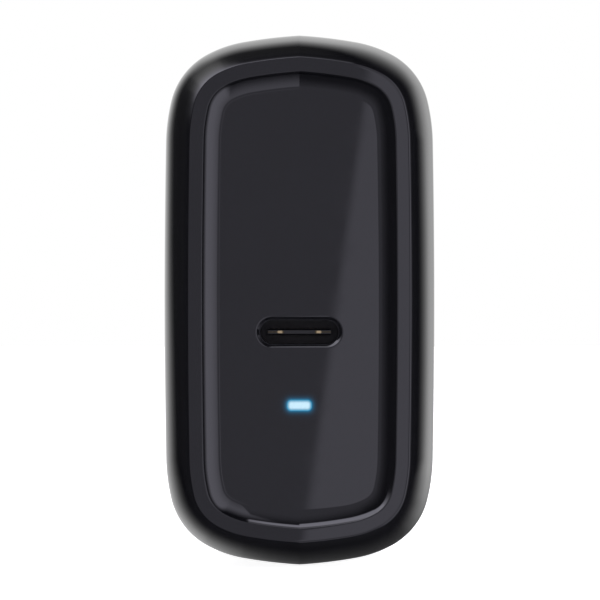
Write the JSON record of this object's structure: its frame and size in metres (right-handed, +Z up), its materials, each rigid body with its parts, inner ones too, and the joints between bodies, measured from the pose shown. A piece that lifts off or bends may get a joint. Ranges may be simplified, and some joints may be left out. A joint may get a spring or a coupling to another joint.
{
  "type": "usb wall charger",
  "caption": "Tall glossy black wall charger with a rounded shoulder, a sunk front panel, a USB-C socket, a small status light and a plug that folds into the back.",
  "frame": {"origin": "on the back face that meets the wall, midway between the two prongs", "axes": "+Z up, +Y out of the back along the prongs, +X to the right of someone looking at the front; the socket faces -Y"},
  "size_m": [0.029, 0.053, 0.0566],
  "materials": {
    "gloss_housing": "high gloss black",
    "cover_plastic": "fine matte texture",
    "window": "frosted, lit from behind",
    "lamp": "lit",
    "dark_steel": "black nickel plate",
    "black_resin": "moulded",
    "gold": "gold plate",
    "nickel_brass": "nickel plate over brass",
    "carrier_resin": "moulded",
    "spring_bronze": "phosphor bronze",
    "steel": "zinc plate",
    "board_green": "solder mask",
    "ferrite": "sintered",
    "copper": "enamelled copper wire",
    "tape_yellow": "polyester tape",
    "can_sleeve": "sleeved can",
    "cap_yellow": "moulded box",
    "disc_blue": "lacquer coat",
    "fuse_brown": "moulded box",
    "aluminium": "rolled sheet",
    "pad_grey": "silicone pad",
    "sheet_film": "insulating film"
  },
  "bodies": {
    "charger": {"front_housing": "gloss_housing", "rear_cover": "cover_plastic", "light_pipe": "window", "status_led": "lamp", "usb_c_shell": "dark_steel", "usb_c_tongue": "black_resin", "usb_c_mid_plate": "gold", "usb_c_insulator": "black_resin", "usb_c_contacts": "gold", "prong_retainer": "carrier_resin", "retainer_screws": "steel", "detent_spring": "steel", "left_contact_spring": "spring_bronze", "right_contact_spring": "spring_bronze", "main_board": "board_green", "output_board": "board_green", "board_link_pins": "gold", "link_strip": "black_resin", "left_bulk_capacitor": "can_sleeve", "right_bulk_capacitor": "can_sleeve", "output_capacitor": "can_sleeve", "box_capacitor": "cap_yellow", "disc_capacitor": "disc_blue", "fuse": "fuse_brown", "bridge_rectifier": "black_resin", "switching_chip": "black_resin", "output_rectifier": "black_resin", "port_controller": "black_resin", "transformer_core_upper": "ferrite", "transformer_core_lower": "ferrite", "transformer_bobbin": "black_resin", "transformer_winding": "copper", "transformer_tape": "tape_yellow", "transformer_pins": "steel", "choke_core": "ferrite", "choke_winding": "copper", "heat_spreader": "aluminium", "thermal_pad": "pad_grey", "insulating_sheet": "sheet_film"},
    "plug": {"left_prong": "nickel_brass", "right_prong": "nickel_brass", "prong_carrier": "carrier_resin"}
  },
  "joints": [
    {"name": "prong_fold", "type": "hinge", "parent": "charger", "child": "plug", "pos_m": [0, -0.0036, 0], "axis": [-1, 0, 0], "range_deg": [0, 90]}
  ]
}
